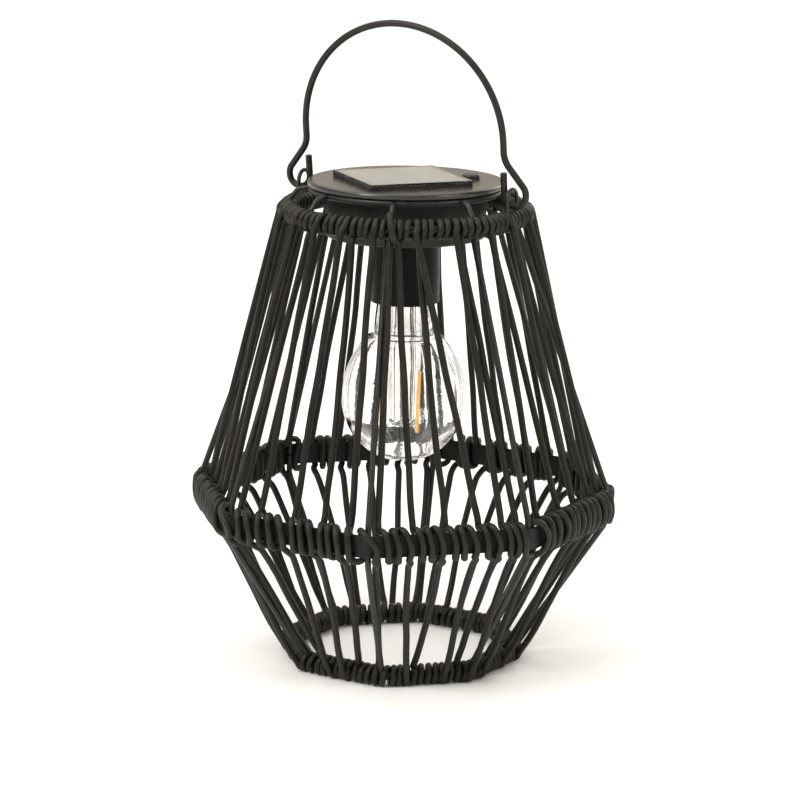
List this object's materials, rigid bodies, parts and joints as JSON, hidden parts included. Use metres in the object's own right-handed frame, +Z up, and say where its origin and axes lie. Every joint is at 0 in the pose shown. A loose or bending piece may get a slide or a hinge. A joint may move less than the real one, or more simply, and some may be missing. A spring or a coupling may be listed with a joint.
{
  "type": "solar garden light",
  "caption": "Lantern-shaped solar garden light: a corded wire cage that widens to an octagonal waist band, a drop-in solar lamp module with a clear bulb, and a swinging wire handle.",
  "frame": {"origin": "centre of the footprint on the ground, under the bottom ring", "axes": "+Z up; +X through the handle's two pivots; the handle leans towards -Y at rest"},
  "size_m": [0.2032, 0.2029, 0.3203],
  "materials": {
    "frame_wire": "satin",
    "cord": "matte",
    "handle_wire": "satin",
    "cap_plastic": "satin",
    "housing_plastic": "satin",
    "seal_rubber": "matte",
    "steel": "satin",
    "panel_board": "matte",
    "cell_silicon": "gloss",
    "panel_resin": "gloss",
    "button_rubber": "satin",
    "switch_plastic": "matte",
    "board_laminate": "satin",
    "battery_sleeve": "gloss",
    "contact_metal": "satin",
    "socket_plastic": "satin",
    "brass_cap": "satin",
    "bulb_clear": "gloss",
    "stem_clear": "gloss",
    "filament_yellow": "satin",
    "lead_insulation": "satin"
  },
  "bodies": {
    "cage": {"bottom_ring": "frame_wire", "bottom_wrap": "cord", "lower_struts": "frame_wire", "upper_struts": "frame_wire", "mid_band": "frame_wire", "top_ring": "frame_wire", "top_wrap": "cord", "seat_ring": "frame_wire", "seat_posts": "frame_wire", "upper_cords": "cord", "lower_cords": "cord", "band_hitches": "cord", "handle_eye_left": "frame_wire", "handle_eye_right": "frame_wire"},
    "handle": {"handle_bail": "handle_wire"},
    "lamp_module": {"module_cap": "cap_plastic", "module_housing": "housing_plastic", "housing_seal": "seal_rubber", "housing_screws": "steel", "solar_panel_board": "panel_board", "solar_cells": "cell_silicon", "panel_cover": "panel_resin", "switch_body": "switch_plastic", "switch_clip": "switch_plastic", "circuit_board": "board_laminate", "battery_tray": "housing_plastic", "battery": "battery_sleeve", "battery_plate": "contact_metal", "battery_spring": "contact_metal", "lamp_socket": "socket_plastic", "socket_screws": "steel", "socket_contact": "contact_metal", "bulb_base": "brass_cap", "bulb_envelope": "bulb_clear", "bulb_stem": "stem_clear", "led_filaments": "filament_yellow", "filament_supports": "contact_metal", "panel_leads": "lead_insulation", "lamp_leads": "lead_insulation"},
    "button": {"switch_button": "button_rubber"}
  },
  "joints": [
    {"name": "handle_swing", "type": "hinge", "parent": "cage", "child": "handle", "pos_m": [0, 0, 0.2333], "axis": [1, 0, 0], "range_deg": [-95, 81]},
    {"name": "module_lift", "type": "slide", "parent": "cage", "child": "lamp_module", "axis": [0, 0, 1], "range_m": [0, 0.04]},
    {"name": "button_press", "type": "slide", "parent": "lamp_module", "child": "button", "axis": [0, 0, -1], "range_m": [0, 0.001], "stiffness_N_per_m": 900, "springref_m": -0.0006}
  ]
}
